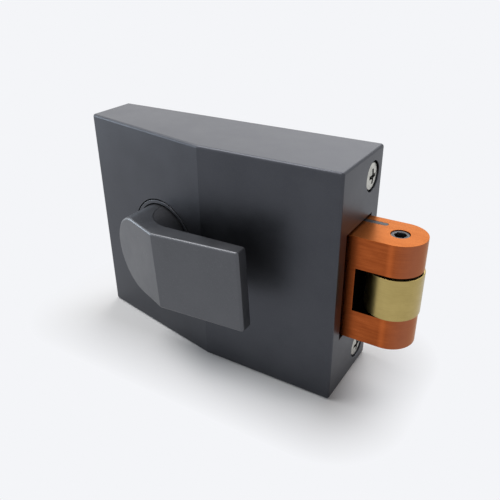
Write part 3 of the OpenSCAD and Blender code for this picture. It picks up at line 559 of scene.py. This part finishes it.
def ring_tree():
    """A turned ring: a filleted section swept round a circle."""
    tree, given = start_tree("turned_ring", {"Radius": "Float", "Bore": "Float",
                                             "Height": "Float", "Fillet": "Float",
                                             "Steps": "Int"})
    wide = minus(tree, given["Radius"], given["Bore"])
    middle = times(tree, plus(tree, given["Radius"], given["Bore"]), 0.5)
    section = add(tree, "GeometryNodeCurvePrimitiveQuadrilateral",
                  {"Width": wide, "Height": given["Height"]})
    eased = add(tree, "GeometryNodeFilletCurve", {"Curve": section.outputs[0], "Count": 4,
                                                  "Radius": given["Fillet"]}, mode="POLY")
    path = add(tree, "GeometryNodeCurvePrimitiveCircle",
               {"Resolution": given["Steps"], "Radius": middle})
    return end_tree(tree, given, swept(tree, path.outputs[0], eased.outputs[0]))


def spring_tree():
    """A compression spring along X with closed ends: round wire swept along a coil."""
    tree, given = start_tree("closed_spring", {"Length": "Float", "Coil radius": "Float",
                                               "Wire radius": "Float", "Turns": "Float",
                                               "Closed turns": "Float", "Steps": "Int"})
    wire_r, turns, closed_turns = (given[k] for k in ("Wire radius", "Turns", "Closed turns"))
    wire = times(tree, wire_r, 2.0)
    line = add(tree, "GeometryNodeMeshLine", {"Count": given["Steps"]})
    curve = add(tree, "GeometryNodeMeshToCurve", {0: line.outputs[0]})
    last = minus(tree, given["Steps"], 1.0)
    share = maths(tree, "DIVIDE", add(tree, "GeometryNodeInputIndex").outputs[0], last)
    turn = times(tree, share, turns)
    angle = times(tree, turn, 2 * pi)

    closed = times(tree, closed_turns, wire)
    ends = plus(tree, wire, times(tree, closed, 2.0))
    room = minus(tree, given["Length"], ends)
    open_end = minus(tree, turns, closed_turns)
    along = wire_r
    for first, final, length in ((0.0, closed_turns, closed), (closed_turns, open_end, room),
                                 (open_end, turns, closed)):
        along = plus(tree, along, spread(tree, turn, first, final, 0.0, length))
    round_y = times(tree, given["Coil radius"], maths(tree, "COSINE", angle))
    round_z = times(tree, given["Coil radius"], maths(tree, "SINE", angle))
    coil = add(tree, "GeometryNodeSetPosition", {"Geometry": curve.outputs[0],
                                                 "Position": vector(tree, along, round_y, round_z)})
    wire_sides = 10
    section = add(tree, "GeometryNodeCurvePrimitiveCircle",
                  {"Resolution": wire_sides, "Radius": wire_r})
    return end_tree(tree, given, swept(tree, coil.outputs[0], section.outputs[0], capped=True))


def domed_head(tree, given):
    """A screw's head: a drum whose top rises to its middle as a low dome."""
    head_r, dome = given["Head radius"], given["Dome height"]
    rim_h = minus(tree, given["Head height"], dome)
    drum = add(tree, "GeometryNodeMeshCylinder", {"Vertices": 48, "Fill Segments": 8,
                                                  "Radius": head_r, "Depth": rim_h})
    position = add(tree, "GeometryNodeInputPosition").outputs[0]
    x, y, z = add(tree, "ShaderNodeSeparateXYZ", {0: position}).outputs
    squares = plus(tree, times(tree, x, x), times(tree, y, y))
    inward = minus(tree, 1.0, maths(tree, "DIVIDE", squares, times(tree, head_r, head_r)))
    on_top = maths(tree, "GREATER_THAN", z, 0.0)
    rise = times(tree, times(tree, inward, on_top), dome)
    lifted = vector(tree, z=plus(tree, times(tree, rim_h, 0.5), rise))
    head = add(tree, "GeometryNodeSetPosition", {"Geometry": drum.outputs[0], "Offset": lifted})
    return head.outputs[0]


def cross_cutters(tree, given):
    """Two tapered bars and a well that together cut a cross recess into a head."""
    head_r, head_h = given["Head radius"], given["Head height"]

    def taper(sides, top, bottom, deep):
        # Radii and depth as shares of the head's
        return add(tree, "GeometryNodeMeshCone", {
            "Vertices": sides, "Radius Top": times(tree, head_r, top),
            "Radius Bottom": times(tree, head_r, bottom),
            "Depth": times(tree, head_h, deep)}).outputs[0]

    square = moved(tree, taper(sides=4, top=0.95, bottom=0.4, deep=0.8), rotation=(0, 0, pi / 4))
    raised = vector(tree, z=times(tree, head_h, 0.35))
    bars = [moved(tree, square, scale=flat, translation=raised)
            for flat in ((1, 0.24, 1), (0.24, 1, 1))]
    well = moved(tree, taper(sides=24, top=0.3, bottom=0.12, deep=0.85),
                 translation=vector(tree, z=times(tree, head_h, 0.3)))
    return [*bars, well]


def recessed(tree, head, cutters):
    """A head with its cutters taken away, their faces marked as its recess, which the finish paints
    near-black as shade.
    """
    for cutter in cutters:
        # Recess faces are marked for painted shade
        shade_mark = add(tree, "GeometryNodeStoreNamedAttribute",
                    {"Geometry": cutter, "Name": "recess", "Value": 1.0}, domain="FACE")
        cut = add(tree, "GeometryNodeMeshBoolean", {"Mesh 1": head}, operation="DIFFERENCE",
                  solver="MANIFOLD")
        tree.links.new(shade_mark.outputs[0], cut.inputs["Mesh 2"])
        head = cut.outputs[0]
    return head


def threaded_shank(tree, given):
    """A screw's core down from its head, and the thread that winds round it."""
    shank_r, length, pitch = (given[k] for k in ("Shank radius", "Shank length", "Pitch"))
    root_r = times(tree, shank_r, 0.88)
    core = add(tree, "GeometryNodeMeshCylinder",
               {"Vertices": 32, "Radius": root_r, "Depth": length})
    core = moved(tree, core.outputs[0], translation=vector(tree, z=times(tree, length, -0.5)))
    turns = minus(tree, maths(tree, "DIVIDE", length, pitch), 1.2)
    depth = times(tree, turns, pitch)
    coil = add(tree, "GeometryNodeCurveSpiral", {"Resolution": 20, "Rotations": turns,
                                                 "Start Radius": root_r, "End Radius": root_r,
                                                 "Height": depth})
    lowest = minus(tree, 0.0, plus(tree, depth, times(tree, pitch, 0.6)))
    coil = moved(tree, coil.outputs[0], translation=vector(tree, z=lowest))
    crest = add(tree, "GeometryNodeCurvePrimitiveCircle",
                {"Resolution": 4, "Radius": times(tree, shank_r, 0.12)})
    return core, swept(tree, coil, crest.outputs[0], capped=True)


def screw_tree():
    """Threaded screws with low domed heads and a tapered cross recess, one on each point."""
    tree, given = start_tree("cross_screws", dict.fromkeys(screw_measures, "Float"))
    head = recessed(tree, domed_head(tree, given), cross_cutters(tree, given))
    whole = add(tree, "GeometryNodeJoinGeometry")
    for part in (head, *threaded_shank(tree, given)):
        tree.links.new(part, whole.inputs[0])
    return end_tree(tree, given, whole.outputs[0])


roller_h, roller_low = 17.5, -9.15
roller = grown("roller", ring_tree(), {"Radius": 10.8 * MM, "Bore": 3.05 * MM,
                                       "Height": roller_h * MM, "Fillet": 0.35 * MM,
                                       "Steps": 128},
               points=[(nose_x, bolt_y, roller_low + roller_h / 2)])
finished("roller", roller)

# Fixed end, height above and below the middle, and length of the springs
spring_x, spring_y, spring_z, spring_l = -61.0, -12.0, 39.0, 52.0
coils = spring_tree()
for node, side in (("bolt_spring_upper", 1), ("bolt_spring_lower", -1)):
    coil = grown(node, coils, {"Length": spring_l * MM, "Coil radius": 2.8 * MM,
                               "Wire radius": 0.3 * MM, "Turns": 16.0, "Closed turns": 1.0,
                               "Steps": 385}, points=[(spring_x, spring_y, side * spring_z)])
    spring = finished(node, coil, crease=80)
    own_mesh(spring)

# Measures of each row of screws in millimetres, the places under its heads, and its aim
screw_measures = ("Head radius", "Head height", "Dome height", "Shank radius", "Shank length",
                  "Pitch")
to_end, to_door = (0, 90, 0), (-90, 0, 0)
chassis_y = -5.5
screw_rows = {
    "case_screws": ((5.2, 3.7, 0.5, 2.5, 9.8, 0.8),
                    [(56.2, -9.0, side * 38.8) for side in (-1, 1)], to_end),
    "chassis_screws": ((3.4, 2.2, 1.0, 1.75, 13.0, 0.6),
                       [(x, chassis_y, side * z) for x, z in ((-61, 30), (32, 36.95))
                        for side in (-1, 1)], to_door),
    "guide_screws": ((3.4, 2.2, 1.0, 1.75, 10.0, 0.6),
                     [(x, chassis_y, side * 27.65) for x in (30.5, 45.65)
                      for side in (-1, 1)], to_door),
    "cam_screw": ((3.8, 2.2, 1.0, 2.0, 10.0, 0.7), [(-25.0, -16.4, 0.0)], to_door),
}
screws = screw_tree()
for node, (sizes, places, aim) in screw_rows.items():
    measures = {name: size * MM for name, size in zip(screw_measures, sizes)}
    row = grown(node, screws, measures, places, [aim] * len(places))
    finished(node, row, 0.1 * MM, crease=40)

for thing in frame["nodes"].values():
    if not thing.hide_render:
        raise SystemExit("a node has no piece: " + thing.name)


# Stage, light and camera

# How much of the backdrop's glow the floor has beside the case, and how far its shadow reaches
near_glow = 0.1
shadow_reach = 0.034
backdrop_tone = (0.905, 0.913, 0.939)
floor_half = 6.0
case_low, case_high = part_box("case")


def seen_rays(tree):
    """1 for rays of the camera, of reflections and through glass, 0 for diffuse light."""
    path = add(tree, "ShaderNodeLightPath")
    seen = plus(tree, path.outputs["Is Camera Ray"], path.outputs["Is Glossy Ray"])
    return spread(tree, plus(tree, seen, path.outputs["Is Transmission Ray"]), 0, 1, 0, 1)


def vector_maths(tree, operation, *values):
    """A Vector Math node on one or two vectors."""
    return add(tree, "ShaderNodeVectorMath", dict(enumerate(values)), operation=operation).outputs


def floor_finish():
    """White floor with the object's soft shadow that turns into the backdrop further off."""
    material, tree, shader = blank_finish("studio_white")
    shader.inputs["Roughness"].default_value = 0.7
    shader.inputs["Specular IOR Level"].default_value = 0.1
    seen = seen_rays(tree)
    grey = mixed_tone(tree, seen, (0.36, 0.36, 0.36), (0.76, 0.765, 0.775))
    tree.links.new(grey, shader.inputs["Base Color"])

    where = add(tree, "ShaderNodeTexCoord").outputs["Object"]
    middle = [(a + b) / 2 for a, b in zip(case_low, case_high)]
    half = [(b - a) / 2 for a, b in zip(case_low, case_high)]
    from_middle = vector_maths(tree, "SUBTRACT", where, middle)[0]
    past = vector_maths(tree, "SUBTRACT", vector_maths(tree, "ABSOLUTE", from_middle)[0], half)[0]
    outside = vector_maths(tree, "MAXIMUM", past, (0, 0, 0))[0]
    away = vector_maths(tree, "LENGTH", outside)["Value"]
    far = spread(tree, away, 0, shadow_reach, near_glow, 1)

    glow = add(tree, "ShaderNodeEmission", {"Color": (*backdrop_tone, 1), "Strength": 1.0})
    both = add(tree, "ShaderNodeMixShader", {0: times(tree, far, seen)})
    tree.links.new(shader.outputs["BSDF"], both.inputs[1])
    tree.links.new(glow.outputs["Emission"], both.inputs[2])
    output = next(n for n in tree.nodes if n.type == "OUTPUT_MATERIAL")
    tree.links.new(both.outputs["Shader"], output.inputs["Surface"])
    return material


floor_mesh = bpy.data.meshes.new("floor")
corners = [(-1, -1), (1, -1), (1, 1), (-1, 1)]
floor_mesh.from_pydata([(x * floor_half, y * floor_half, cad_low.z) for x, y in corners], [],
                       [(0, 1, 2, 3)])
floor = bpy.data.objects.new("floor", floor_mesh)
bpy.context.scene.collection.objects.link(floor)
floor_mesh.materials.append(floor_finish())


def studio_world(ambient, backdrop):
    """Weak light from all round, with a white backdrop for the camera and in reflections."""
    world = bpy.data.worlds.new("studio")
    world.use_nodes = True
    tree = world.node_tree
    tree.nodes.clear()
    glow = spread(tree, seen_rays(tree), 0, 1, ambient, backdrop)
    sky = add(tree, "ShaderNodeBackground", {"Color": (*backdrop_tone, 1), "Strength": glow})
    output = add(tree, "ShaderNodeOutputWorld")
    tree.links.new(sky.outputs["Background"], output.inputs["Surface"])
    bpy.context.scene.world = world


def soft_box(name, place, width, height, power, tone):
    """A rectangular lamp that faces the origin, at a place and of a size in metres."""
    light = bpy.data.lights.new(name, "AREA")
    light.shape = "RECTANGLE"
    light.size, light.size_y = width, height
    light.energy = power
    light.color = tone
    lamp = bpy.data.objects.new(name, light)
    lamp.location = place
    lamp.rotation_euler = (-Vector(place)).to_track_quat("-Z", "Y").to_euler()
    bpy.context.scene.collection.objects.link(lamp)


studio_world(ambient=0.01, backdrop=1.0)
warm_white = (1.0, 0.99, 0.98)
soft_box("back_box", (0.0, 0.9, 1.25), 1.2, 0.9, 14, warm_white)
soft_box("low_back_box", (-0.62, 1.0, 0.64), 1.4, 0.7, 2.8, warm_white)
soft_box("high_box", (-0.55, -0.15, 1.0), 0.6, 0.6, 9, (1.0, 0.98, 0.96))
soft_box("low_left_box", (-1.1, -0.25, 0.12), 0.9, 0.5, 7, (0.82, 0.92, 1.0))

# Place in millimetres, and tilt up from straight down, lean and turn in degrees
camera_place = (129.644, -208.865, 116.532)
camera_tilt, camera_lean, camera_turn = 61.654, 0.539, 31.695
camera_data = bpy.data.cameras.new("camera")
camera = bpy.data.objects.new("camera", camera_data)
bpy.context.scene.collection.objects.link(camera)
camera.location = [c * MM for c in camera_place]
camera.rotation_euler = [radians(a) for a in (camera_tilt, camera_lean, camera_turn)]
camera_data.sensor_width = 36
camera_data.lens = 41.963
camera_data.shift_x = 0.0017
camera_data.shift_y = 0.0133
camera_data.clip_start = 0.01
bpy.context.scene.camera = camera
bpy.context.scene.view_settings.view_transform = "Standard"
